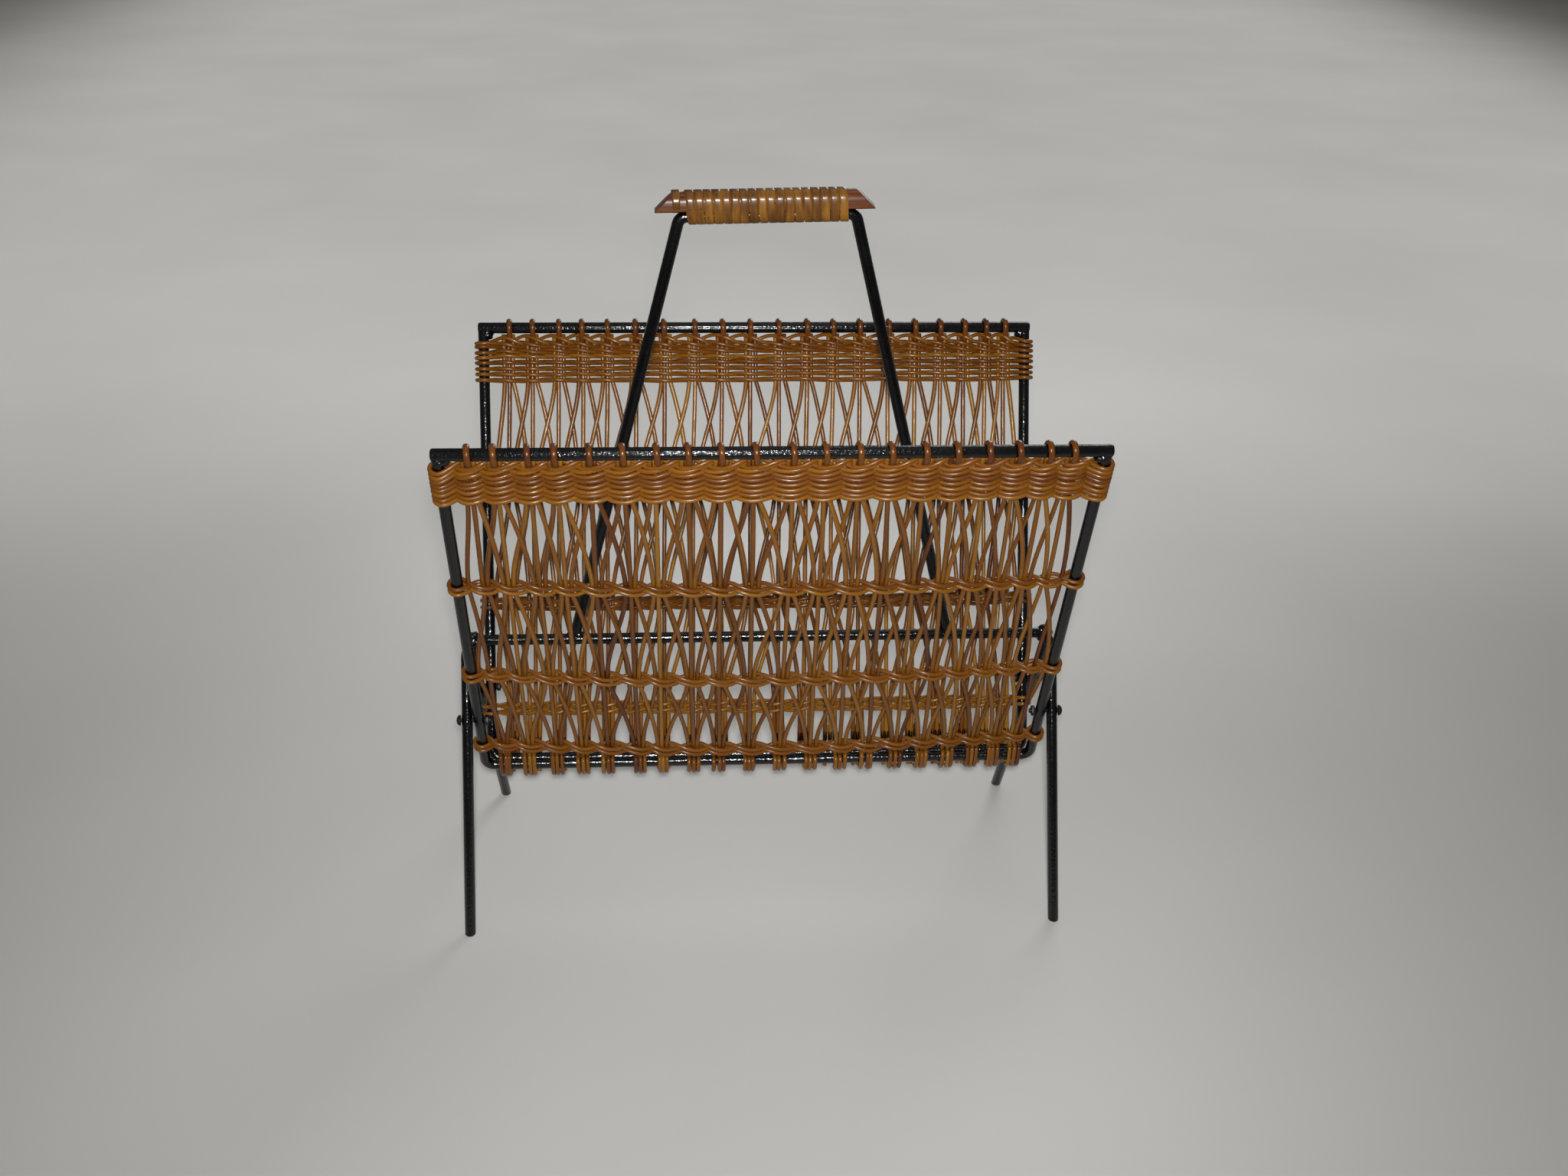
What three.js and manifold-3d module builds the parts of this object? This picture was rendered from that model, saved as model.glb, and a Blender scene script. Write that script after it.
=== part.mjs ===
// Magazine basket: two woven cane panels that hang in a black rod stand with a cane-wrapped handle.
// Millimetres, +Z up, X across the basket, the front panel towards -Y. The origin is on the floor,
// midway between the feet.
import * as THREE from 'three';
import * as BufferGeometryUtils from 'three/addons/utils/BufferGeometryUtils.js';
import Module from 'manifold-3d';

const wasm = await Module();
wasm.setup();

// Rod and cane stock
const rodDiameter = 8;
const strandDiameter = 3;
const clearance = 0.3;
const rodSides = 12;
const bendSteps = 6;
const overrun = 20;

// Stand: the front legs and the crossbar are one bent rod, the rear legs are welded to it
const crossbarHeight = 196.5;
const footReach = 93;
const rearFootHalfSpacing = 208;
const crossbarBendRadius = 13;

// Handle
const handleBaseHalfSpacing = 139;
const handleTopHalfSpacing = 58.4;
const handleTopHeight = 512.8;
const handleBendRadius = 6.5;

// Grip: a split cane on top of the handle, bound with one flat cane strap
const gripCoreHeight = 12;
const gripCoreWidth = 12.5;
const gripCoreHalfLength = 75;
const gripCoreEndSlant = 8;
const gripCoreSteps = 8;
const strapWidth = 5.1;
const strapThickness = 1;
const strapTurns = 18;
const strapStepsPerTurn = 16;
const wrapHalfLength = 51.7;

// Panels
const panelTopHeight = 395;
const panelTopReach = 126.4;
const panelBottomHeight = 90.8;
const bottomRodGap = 0.5;
const frontPanelHalfWidth = 210;
const rearPanelHalfWidth = 205.8;
const panelBendRadius = 8;
const legSideClearance = 0.6;

// Weaving. The top band's edges are measured down the panel from the axis of its top rod, and the
// row bands are placed at shares of the panel's length, where they meet the side rods. The rear panel's
// lowest one is placed below the pivots.
const bundleCount = 20;
const bundleEdgeMargin = 18;
const netThickness = 2.6;
const topBandStart = 6.5;
const topBandEnd = 41;
const rowBandHeight = 10;
const frontBandShares = [0.3737, 0.6599, 0.915];
const frontBandSags = [6, 12, 13];
const rearBandShares = [0.36, 0.636];
const rearLowerBandDrop = 18;
const rearBandSags = [1, 1, 1];
const topBandRows = 8;
const rowBandRows = 2;
const bandWall = 2.4;
const rowGroove = 1.2;
const bandFlareLength = 14;
const bandEndSteps = 6;
const bandSagSteps = 6;

// Pivot screws
const screwDiameter = 3.4;
const screwHeadDiameter = 8.4;
const screwHeadHeight = 3;
const screwSides = 12;
const nutAcrossFlats = 7;
const nutThickness = 3;
const screwTipLength = 1.6;

const rodRadius = rodDiameter / 2;
const bottomRodReach = rodRadius + bottomRodGap / 2;
const legHalfSpacing = frontPanelHalfWidth + rodDiameter + legSideClearance;
const rearPivotHalfSpacing = rearPanelHalfWidth + rodDiameter + legSideClearance;

// Materials
const blackPaint = { color: 0x17181a, roughness: 0.32, metalness: 0.15 };
const screwBlack = { color: 0x232323, roughness: 0.5, metalness: 0.4 };
const goldenCane = { color: 0xa5702f, roughness: 0.42, metalness: 0 };
const bandCane = { color: 0xb5813c, roughness: 0.4, metalness: 0 };
const splitCane = { color: 0x7a4a22, roughness: 0.5, metalness: 0 };
const strapCane = { color: 0xc08a3c, roughness: 0.45, metalness: 0 };

function piece(name, geometry, look) {
  const mesh = new THREE.Mesh(geometry, new THREE.MeshStandardMaterial(look));
  mesh.name = name;
  return mesh;
}

// Joining and cutting of closed meshes
function toSolid(geometry) {
  const bare = geometry.clone();
  bare.deleteAttribute('normal');
  bare.deleteAttribute('uv');
  const merged = BufferGeometryUtils.mergeVertices(bare);
  return new wasm.Manifold(new wasm.Mesh({
    numProp: 3,
    vertProperties: new Float32Array(merged.attributes.position.array),
    triVerts: new Uint32Array(merged.index.array),
  }));
}

function toGeometry(solid) {
  const mesh = solid.getMesh();
  const geometry = new THREE.BufferGeometry();
  geometry.setAttribute('position', new THREE.BufferAttribute(new Float32Array(mesh.vertProperties), 3));
  geometry.setIndex(new THREE.BufferAttribute(new Uint32Array(mesh.triVerts), 1));
  return geometry;
}

function cut(geometry, ...tools) {
  return toGeometry(tools.reduce((solid, tool) => solid.subtract(toSolid(tool)), toSolid(geometry)));
}

// A path of stations, each a point and the direction of the rod there
class StationPath extends THREE.Curve {
  constructor(stations) {
    super();
    this.stations = stations;
  }

  station(share) {
    return this.stations[Math.round(share * (this.stations.length - 1))];
  }

  getPointAt(share) {
    return this.station(share).point.clone();
  }

  getTangentAt(share) {
    return this.station(share).tangent.clone();
  }
}

function bentStations(corners, bendRadius) {
  const headings = corners.slice(1).map((corner, i) => corner.clone().sub(corners[i]).normalize());
  const stations = [{ point: corners[0], tangent: headings[0] }];
  for (let i = 1; i < corners.length - 1; i += 1) {
    const before = headings[i - 1];
    const after = headings[i];
    const turn = before.angleTo(after);
    const axis = before.clone().cross(after).normalize();
    const inward = after.clone().sub(before).normalize();
    const centre = corners[i].clone().addScaledVector(inward, bendRadius / Math.cos(turn / 2));
    const start = corners[i].clone().addScaledVector(before, -bendRadius * Math.tan(turn / 2));
    for (let step = 0; step <= bendSteps; step += 1) {
      const angle = (turn * step) / bendSteps;
      const spoke = start.clone().sub(centre).applyAxisAngle(axis, angle);
      stations.push({ point: spoke.add(centre), tangent: before.clone().applyAxisAngle(axis, angle) });
    }
  }
  stations.push({ point: corners[corners.length - 1], tangent: headings[headings.length - 1] });
  return stations;
}

function rod(corners, bendRadius = 0, radius = rodRadius) {
  const stations = bentStations(corners, bendRadius);
  const section = new THREE.Shape(Array.from({ length: rodSides }, (_, i) => {
    const angle = (2 * Math.PI * (i + 1 / 2)) / rodSides;
    return new THREE.Vector2(radius * Math.cos(angle), radius * Math.sin(angle));
  }));
  const extrudePath = new StationPath(stations);
  return new THREE.ExtrudeGeometry(section, { steps: stations.length - 1, extrudePath });
}

function crosswiseCylinder(radius, length, sides) {
  return new THREE.CylinderGeometry(radius, radius, length, sides).rotateZ(Math.PI / 2);
}

// Where a leg and a side rod cross, seen from the side: the pivot of a panel
function crossing() {
  const leg = { y: footReach, z: -crossbarHeight };
  const side = { y: bottomRodReach - panelTopReach, z: panelBottomHeight - panelTopHeight };
  const from = { y: panelTopReach, z: panelTopHeight - crossbarHeight };
  const share = (from.y * side.z - from.z * side.y) / (leg.y * side.z - leg.z * side.y);
  return { y: leg.y * share, z: crossbarHeight + leg.z * share, legShare: share };
}

const pivot = crossing();
const panelTilt = Math.atan2(panelTopReach - bottomRodReach, panelTopHeight - panelBottomHeight);
const panelLength = Math.hypot(panelTopReach - bottomRodReach, panelTopHeight - panelBottomHeight);
const pivotToTop = Math.hypot(panelTopReach - pivot.y, panelTopHeight - pivot.z);
const rearLowestShare = (pivotToTop + rearLowerBandDrop) / panelLength;

// Drills at the pivots, and the block under the floor that the feet are cut along
function pivotDrill(side) {
  const drill = crosswiseCylinder(screwDiameter / 2 + clearance, 2 * overrun, screwSides);
  return drill.translate(0, side * pivot.y, pivot.z);
}

function floorBlock() {
  const width = 2 * (legHalfSpacing + overrun);
  const depth = 2 * (footReach + overrun);
  return new THREE.BoxGeometry(width, depth, overrun).translate(0, 0, -overrun / 2);
}

function drillAt(x, side) {
  return pivotDrill(side).translate(x, 0, 0);
}

function crossbarEnvelope() {
  const ends = [-1, 1].map((side) => new THREE.Vector3(side * legHalfSpacing, 0, crossbarHeight));
  return rod(ends, 0, rodRadius + clearance);
}

// The front legs and the crossbar, bent from one rod
function frontLegFrame() {
  const toFloor = overrun / 2 / crossbarHeight;
  const corner = (side) => new THREE.Vector3(side * legHalfSpacing, 0, crossbarHeight);
  const foot = (side) => new THREE.Vector3(
    side * legHalfSpacing,
    -footReach * (1 + toFloor),
    -crossbarHeight * toFloor,
  );
  const bar = rod([foot(-1), corner(-1), corner(1), foot(1)], crossbarBendRadius);
  const drills = [-1, 1].map((side) => drillAt(side * legHalfSpacing, -1));
  return piece('front_leg_frame', cut(bar, floorBlock(), ...drills), blackPaint);
}

// A rear leg, butted against the crossbar where it is welded on
function rearLeg(name, side) {
  const lean = (rearFootHalfSpacing - rearPivotHalfSpacing) / (1 - pivot.legShare);
  const along = (share) => new THREE.Vector3(
    side * (rearPivotHalfSpacing + lean * (share - pivot.legShare)),
    footReach * share,
    crossbarHeight * (1 - share),
  );
  const bar = rod([along(0), along(1 + overrun / 2 / crossbarHeight)]);
  const tools = [floorBlock(), crossbarEnvelope(), drillAt(side * rearPivotHalfSpacing, 1)];
  const cornerEnvelope = rod([
    new THREE.Vector3(0, 0, crossbarHeight),
    new THREE.Vector3(side * legHalfSpacing, 0, crossbarHeight),
    new THREE.Vector3(side * legHalfSpacing, -footReach, 0),
  ], crossbarBendRadius, rodRadius + clearance);
  return piece(name, cut(bar, cornerEnvelope, ...tools), blackPaint);
}

// The handle, one rod bent twice and butted on top of the crossbar
function handleRod() {
  const foot = (side) => new THREE.Vector3(side * handleBaseHalfSpacing, 0, crossbarHeight);
  const shoulder = (side) => new THREE.Vector3(side * handleTopHalfSpacing, 0, handleTopHeight);
  const bar = rod([foot(-1), shoulder(-1), shoulder(1), foot(1)], handleBendRadius);
  return piece('handle_rod', cut(bar, crossbarEnvelope()), blackPaint);
}

const gripCoreBase = handleTopHeight + rodRadius + clearance;

// The split cane on top of the handle, flat below and round above, its ends cut on a slant
function gripCore() {
  const radius = gripCoreWidth / 2;
  const section = [[-radius, 0], [radius, 0]];
  for (let step = 0; step <= gripCoreSteps; step += 1) {
    const angle = (Math.PI * step) / gripCoreSteps;
    section.push([radius * Math.cos(angle), gripCoreHeight - radius + radius * Math.sin(angle)]);
  }
  const shape = new THREE.Shape(section.map(([x, y]) => new THREE.Vector2(x, y)));
  const bar = new THREE.ExtrudeGeometry(shape, { depth: 2 * gripCoreHalfLength, bevelEnabled: false });
  bar.translate(0, 0, -gripCoreHalfLength).rotateX(Math.PI / 2).rotateZ(Math.PI / 2);
  const place = bar.attributes.position;
  for (let i = 0; i < place.count; i += 1) {
    const slant = (gripCoreEndSlant * place.getZ(i)) / gripCoreHeight;
    place.setX(i, place.getX(i) - Math.sign(place.getX(i)) * slant);
  }
  return piece('grip_core', bar.translate(0, 0, gripCoreBase), splitCane);
}

// The strap's path round the core and the rod: a stadium of straight sides and half-round ends
function wrapOutline(angle) {
  const inner = clearance + strapThickness / 2;
  const halfWidth = gripCoreWidth / 2 + inner;
  const bottom = handleTopHeight - rodRadius - inner;
  const top = gripCoreBase + gripCoreHeight + inner;
  const halfStraight = (top - bottom) / 2 - halfWidth;
  const x = halfWidth * Math.cos(angle);
  const z = halfWidth * Math.sin(angle) + halfStraight * Math.sign(Math.sin(angle));
  return { across: x, up: (top + bottom) / 2 + z };
}

// One flat strap wound round the grip as a single unbroken helix
function gripWrap() {
  const steps = strapTurns * strapStepsPerTurn;
  const pitch = (2 * wrapHalfLength) / strapTurns;
  const corners = [[-1, -1], [1, -1], [1, 1], [-1, 1]];
  const positions = [];
  const middles = [];
  for (let step = 0; step <= steps; step += 1) {
    const angle = (2 * Math.PI * (step + 1 / 2)) / strapStepsPerTurn;
    const here = wrapOutline(angle);
    const along = pitch * (step / strapStepsPerTurn) - wrapHalfLength;
    const centre = new THREE.Vector3(along, here.across, here.up);
    middles.push(centre);
    for (const [side, out] of corners) {
      positions.push(
        centre.x + (side * strapWidth) / 2,
        centre.y + (out * strapThickness * Math.cos(angle)) / 2,
        centre.z + (out * strapThickness * Math.sin(angle)) / 2,
      );
    }
  }
  const faces = [0, 2, 1, 0, 3, 2];
  for (let step = 0; step < steps; step += 1) {
    const ring = step * corners.length;
    for (let i = 0; i < corners.length; i += 1) {
      const a = ring + i;
      const b = ring + ((i + 1) % corners.length);
      faces.push(a, b, b + corners.length, a, b + corners.length, a + corners.length);
    }
  }
  const last = steps * corners.length;
  faces.push(last, last + 1, last + 2, last, last + 2, last + 3);
  const geometry = new THREE.BufferGeometry();
  geometry.setAttribute('position', new THREE.Float32BufferAttribute(positions, 3));
  geometry.setIndex(faces);
  const rise = middles[strapStepsPerTurn].x - middles[0].x;
  console.log(`grip strap: least gap between turns ${(rise - strapWidth).toFixed(2)} mm`);
  return piece('grip_wrap', geometry, strapCane);
}

// How far a band hangs below a straight line between its ends
function sagAt(x, halfWidth, sag) {
  return sag * (1 - (x / halfWidth) ** 2);
}

// The woven net of a panel, cut from one sheet: strands cross between the bands and hang straight
// below the last one. It is drawn in X and in the distance below the top rod.
function netOutlines(halfWidth, bandShares, bandSags) {
  const bundleSpacing = (2 * (halfWidth - bundleEdgeMargin)) / (bundleCount - 1);
  const bundleX = (i) => bundleEdgeMargin - halfWidth + i * bundleSpacing;
  const rows = bandShares.map((share, i) => ({
    start: share * panelLength - rowBandHeight / 2,
    end: share * panelLength + rowBandHeight / 2,
    sag: bandSags[i],
  }));
  const strips = [{ start: rodRadius + clearance, end: topBandEnd, sag: 0 }, ...rows];
  const edge = halfWidth - bundleEdgeMargin + strandDiameter;
  const toothEnd = panelLength - rodRadius - clearance;
  const point = (x, down) => new THREE.Vector2(x, -down);
  const pointOn = (x, down, sag) => point(x, down + sagAt(x, halfWidth, sag));
  const lastStrip = strips[strips.length - 1];
  const sheet = [point(-edge, strips[0].start)];
  for (let i = 0; i < bundleCount; i += 1) {
    const left = bundleX(i) - strandDiameter;
    const right = bundleX(i) + strandDiameter;
    if (i > 0) sheet.push(pointOn(left, lastStrip.end, lastStrip.sag));
    sheet.push(point(left, toothEnd), point(right, toothEnd));
    if (i < bundleCount - 1) sheet.push(pointOn(right, lastStrip.end, lastStrip.sag));
  }
  sheet.push(point(edge, strips[0].start));
  const gaps = [];
  const offset = strandDiameter / 2;
  const run = bundleSpacing - 2 * offset;
  for (let level = 0; level < strips.length - 1; level += 1) {
    const above = (x) => strips[level].end + sagAt(x, halfWidth, strips[level].sag);
    const below = (x) => strips[level + 1].start + sagAt(x, halfWidth, strips[level + 1].sag);
    const crossings = [];
    for (let i = 0; i < bundleCount - 1; i += 1) {
      const centre = bundleX(i) + bundleSpacing / 2;
      const drop = below(centre) - above(centre);
      const slope = Math.hypot(run, drop);
      const sideways = offset * (slope / drop);
      const upward = offset * (slope / run);
      const middle = (above(centre) + below(centre)) / 2;
      const left = bundleX(i) + offset + sideways;
      const right = bundleX(i + 1) - offset - sideways;
      crossings.push({ left: point(centre - sideways, middle), right: point(centre + sideways, middle) });
      gaps.push([point(left, above(left)), point(right, above(right)), point(centre, middle - upward)]);
      gaps.push([point(left, below(left)), point(right, below(right)), point(centre, middle + upward)]);
    }
    for (let i = 0; i < bundleCount; i += 1) {
      const x = bundleX(i);
      const drop = below(x) - above(x);
      const apex = (drop * offset * (Math.hypot(run, drop) / drop - 1)) / run;
      const before = crossings[i - 1];
      const after = crossings[i];
      const corners = [point(x, above(x) + apex), before?.right, point(x, below(x) - apex), after?.left];
      gaps.push(corners.filter(Boolean));
    }
  }
  return { sheet, gaps };
}

function slab(outline, depth) {
  const sheet = new THREE.ExtrudeGeometry(new THREE.Shape(outline), { depth, bevelEnabled: false });
  return sheet.translate(0, 0, -depth / 2);
}

function net(name, halfWidth, bandShares, bandSags) {
  const { sheet, gaps } = netOutlines(halfWidth, bandShares, bandSags);
  const punches = BufferGeometryUtils.mergeGeometries(gaps.map((gap) => slab(gap, 2 * netThickness)));
  return piece(name, cut(slab(sheet, netThickness), punches).rotateX(Math.PI / 2), goldenCane);
}

// The outline of a woven band round both side rods, drawn in against the net between them
function bandOutline(halfWidth, wall) {
  const endRadius = rodRadius + clearance + wall;
  const flatHalf = netThickness / 2 + clearance + wall;
  const flatEnd = halfWidth - bandFlareLength;
  const points = [];
  for (const side of [1, -1]) {
    for (let step = 0; step < bandSagSteps; step += 1) {
      points.push(new THREE.Vector2(side * flatEnd * ((2 * step) / bandSagSteps - 1), -side * flatHalf));
    }
    points.push(new THREE.Vector2(side * flatEnd, -side * flatHalf));
    for (let step = 0; step <= bandEndSteps; step += 1) {
      const angle = Math.PI * (step / bandEndSteps - 1 / 2);
      points.push(new THREE.Vector2(
        side * (halfWidth + endRadius * Math.cos(angle)),
        side * endRadius * Math.sin(angle),
      ));
    }
  }
  return points;
}

// The sleeve is one closed ring of outlines: the inner wall at both ends, and outside a groove on each
// side of every woven row
function sleeve(halfWidth, start, end, sag, rows) {
  const rings = [{ down: end, wall: 0 }, { down: start, wall: 0 }];
  for (let step = 0; step <= 2 * rows; step += 1) {
    const groove = step % 2 === 0 ? rowGroove : 0;
    rings.push({ down: start + ((end - start) * step) / (2 * rows), wall: bandWall - groove });
  }
  const positions = [];
  for (const { down, wall } of rings) {
    for (const { x, y } of bandOutline(halfWidth, wall)) positions.push(x, y, -down - sagAt(x, halfWidth, sag));
  }
  const count = positions.length / 3 / rings.length;
  const faces = [];
  rings.forEach((_, ring) => {
    const here = ring * count;
    const there = ((ring + 1) % rings.length) * count;
    for (let i = 0; i < count; i += 1) {
      const next = (i + 1) % count;
      faces.push(there + i, there + next, here + next, there + i, here + next, here + i);
    }
  });
  const geometry = new THREE.BufferGeometry();
  geometry.setAttribute('position', new THREE.Float32BufferAttribute(positions, 3));
  geometry.setIndex(faces);
  return geometry;
}

// A panel hangs from the axis of its top rod, with its own Z up along its sides. Below the top rod its
// frame is one rod, bent at both lower corners.
function panel(name, side, halfWidth, bandShares, bandSags) {
  const group = new THREE.Group();
  group.position.set(0, side * panelTopReach, panelTopHeight);
  group.rotation.x = -side * panelTilt;
  const at = (x, down) => new THREE.Vector3(x, 0, -down);
  const topRod = rod([-1, 1].map((end) => at(end * (halfWidth + rodRadius), 0)));
  group.add(piece(`${name}_top_rod`, topRod, blackPaint));
  const seat = rodRadius + clearance;
  const corners = [at(-halfWidth, seat), at(-halfWidth, panelLength), at(halfWidth, panelLength), at(halfWidth, seat)];
  const drills = [-1, 1].map((end) => {
    const drill = crosswiseCylinder(screwDiameter / 2 + clearance, 2 * overrun, screwSides);
    return drill.translate(end * halfWidth, 0, -pivotToTop);
  });
  group.add(piece(`${name}_bent_rod`, cut(rod(corners, panelBendRadius), ...drills), blackPaint));
  group.add(net(`${name}_net`, halfWidth, bandShares, bandSags));
  const topSleeve = sleeve(halfWidth, topBandStart, topBandEnd, 0, topBandRows);
  group.add(piece(`${name}_top_band`, topSleeve, bandCane));
  for (const [i, word] of ['upper', 'middle', 'lower'].entries()) {
    const start = bandShares[i] * panelLength - rowBandHeight / 2;
    const woven = sleeve(halfWidth, start, start + rowBandHeight, bandSags[i], rowBandRows);
    group.add(piece(`${name}_${word}_band`, woven, bandCane));
  }
  return group;
}

// A domed screw through a leg and a side rod, and the nut inside the panel
function pivotScrew(name, side, end, panelHalfWidth, legHalf) {
  const inner = panelHalfWidth - rodRadius - clearance;
  const outer = legHalf + rodRadius + clearance;
  const shankStart = inner - nutThickness - screwTipLength;
  const shankRadius = screwDiameter / 2;
  const headRadius = screwHeadDiameter / 2;
  const profile = [
    [0, shankStart],
    [shankRadius, shankStart],
    [shankRadius, outer],
    [headRadius, outer],
    [headRadius * Math.cos(Math.PI / 6), outer + screwHeadHeight / 2],
    [headRadius / 2, outer + screwHeadHeight],
    [0, outer + screwHeadHeight],
  ];
  const turned = new THREE.LatheGeometry(profile.map(([r, h]) => new THREE.Vector2(r, h)), screwSides);
  const screw = piece(`${name}_pivot_screw`, turned, screwBlack);
  screw.rotation.z = -end * (Math.PI / 2);
  screw.position.set(0, side * pivot.y, pivot.z);
  const hexagon = new THREE.CylinderGeometry(
    nutAcrossFlats / Math.sqrt(3),
    nutAcrossFlats / Math.sqrt(3),
    nutThickness,
    6,
  );
  const bore = new THREE.CylinderGeometry(shankRadius + clearance, shankRadius + clearance, 2 * overrun, screwSides);
  const nut = piece(`${name}_pivot_nut`, cut(hexagon, bore), screwBlack);
  nut.rotation.z = Math.PI / 2;
  nut.position.set(end * (inner - nutThickness / 2), side * pivot.y, pivot.z);
  return [screw, nut];
}

const basket = new THREE.Group();
basket.add(frontLegFrame());
basket.add(rearLeg('rear_left_leg', -1), rearLeg('rear_right_leg', 1));
basket.add(handleRod(), gripCore(), gripWrap());
basket.add(panel('front', -1, frontPanelHalfWidth, frontBandShares, frontBandSags));
basket.add(panel('rear', 1, rearPanelHalfWidth, [...rearBandShares, rearLowestShare], rearBandSags));
for (const [word, end] of [['left', -1], ['right', 1]]) {
  basket.add(...pivotScrew(`front_${word}`, -1, end, frontPanelHalfWidth, legHalfSpacing));
  basket.add(...pivotScrew(`rear_${word}`, 1, end, rearPanelHalfWidth, rearPivotHalfSpacing));
}

export default basket;
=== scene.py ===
# Magazine basket: two woven cane panels on black painted rods, hung in a rod stand with a bound grip.
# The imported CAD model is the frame. The rods, welds, screws and the grip's core are modelled here as by
# hand. Cane strands follow laid-out paths, so they are drawn by their own mesh code.
# Every object is in metres in the model's frame. The sizes below are in millimetres, and so is the
# weaving, which is laid out on each panel: x across, down from the axis of its top rod, and out from
# the basket.
import math

import bpy
import numpy as np
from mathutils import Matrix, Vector, noise


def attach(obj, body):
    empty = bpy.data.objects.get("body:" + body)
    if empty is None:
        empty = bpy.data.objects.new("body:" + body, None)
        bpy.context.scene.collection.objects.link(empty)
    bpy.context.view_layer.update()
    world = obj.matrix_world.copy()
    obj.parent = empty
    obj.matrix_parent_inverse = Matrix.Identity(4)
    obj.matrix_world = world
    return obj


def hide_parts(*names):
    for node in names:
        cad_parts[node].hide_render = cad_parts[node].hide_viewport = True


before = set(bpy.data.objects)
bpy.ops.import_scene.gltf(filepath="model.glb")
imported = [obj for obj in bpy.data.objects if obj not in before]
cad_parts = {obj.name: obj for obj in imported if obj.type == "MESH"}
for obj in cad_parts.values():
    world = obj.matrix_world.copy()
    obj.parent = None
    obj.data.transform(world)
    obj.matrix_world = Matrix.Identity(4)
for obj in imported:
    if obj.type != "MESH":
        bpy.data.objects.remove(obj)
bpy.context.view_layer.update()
random_source = np.random.default_rng(41)

# The stand and the handle, the same as in the model's source. ROD is the radius of every rod, GAP the
# play between parts that touch, and PIVOT how far out and how high the panels' screws stand
ROD = 4.0
GAP = 0.3
CROSSBAR_HEIGHT = 196.5
FOOT_REACH = 93.0
LEG_HALF_SPACING = 218.6
LEG_BEND = 13.0
REAR_PIVOT_HALF_SPACING = 214.4
REAR_FOOT_HALF_SPACING = 208.0
HANDLE_BASE = 139.0
HANDLE_TOP = 58.4
HANDLE_HEIGHT = 512.8
HANDLE_BEND = 6.5
PIVOT = (25.261, 143.126)

# The top of the handle isn't quite level: its left corner is this much lower, its right one higher
HANDLE_SKEW = 1.35

# The rear legs start this share of the way down and the handle this high, both inside their welds.
# Legs are made a twentieth too long and then cut flat at the floor
REAR_LEG_START = 0.022
HANDLE_START = CROSSBAR_HEIGHT + 1.5
PAST_FLOOR = 1.05

# The flats that make a rod round, and the steps of a bend
ROD_FLATS = 32
BEND_STEPS = 14

# The panels
TOP_REACH = 126.4
TOP_HEIGHT = 395.0
BOTTOM_REACH = 4.25
BOTTOM_HEIGHT = 90.8
TILT = math.atan2(TOP_REACH - BOTTOM_REACH, TOP_HEIGHT - BOTTOM_HEIGHT)
PANEL_LENGTH = math.hypot(TOP_REACH - BOTTOM_REACH, TOP_HEIGHT - BOTTOM_HEIGHT)
PANEL_BEND = 8.0
SIDE_ROD_START = 1.5
HALF_WIDTHS = {"front": 210.0, "rear": 205.8}
SIDES = {"front": -1, "rear": 1}
HANDS = {"left": -1, "right": 1}

# The grip: half a cane on the handle's top rod, and the strap wound round both
CORE_BASE = HANDLE_HEIGHT + ROD + GAP
CORE_HEIGHT = 12.0
CORE_RADIUS = 6.25
CORE_ENDS = (-75.0, 71.0)
STRAP_THICKNESS = 1.0
STRAP_STEPS_PER_TURN = 48

# The pivot screws and their nuts
SHANK_RADIUS = 1.7
HEAD_RADIUS = 4.2
HEAD_FLATNESS = 0.7
SCREW_PAST_NUT = 1.6
NUT_THICKNESS = 3.0
NUT_ACROSS_FLATS = 7.0

# The radii of the reeds, and the space between the three stakes of a bundle
STAKE = 1.68
WEAVER = 1.52
LOOP = 2.1
LOOP_FLATNESS = 0.68
STAKE_SPACING = 3.4
ACROSS = (1.0, 0.0, 0.0)

# The rows of the top band, down from the top rod. The other three bands have two rows each: the share
# of the panel's length at which a band lies at the side rods, and how much it sags in the middle
TOP_ROWS = [8.2 + 4.45 * row for row in range(8)]
BAND_ROWS = {
    "front": [(0.3737, 6.0), (0.6599, 12.0), (0.915, 13.0)],
    "rear": [(0.36, 1.0), (0.636, 1.0), (0.8829, 1.0)],
}
BAND_ROW_GAP = 5.0

# A weaver's sweep to each side of the stakes, its small dip as it passes a bundle, the radius on which
# it turns round a side rod, and the steps in which it is drawn
WEAVER_SWEEP = 3.25
WEAVER_DIP = 0.1
WEAVER_TURN = ROD + WEAVER + 0.1
WEAVER_STEPS = 8

# The four stretches of a stake, from the top band down to the bottom rod: how far it runs straight
# below the upper and above the lower end, and the steps in which it is drawn
STAKE_STRETCHES = [(19.0, 5.5, 18), (5.5, 5.5, 18), (5.5, 5.5, 18), (5.5, 2.0, 4)]

# A stake's end, over the front of the bottom rod and under it: down from that rod's axis, and out
STAKE_CURL = [
    (-21.0, 0.3), (-15.0, 1.6), (-10.0, 3.1), (-5.0, 4.7), (0.0, 5.7),
    (3.5, 5.6), (6.6, 4.5), (8.8, 2.9), (9.9, 1.0),
]

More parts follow.
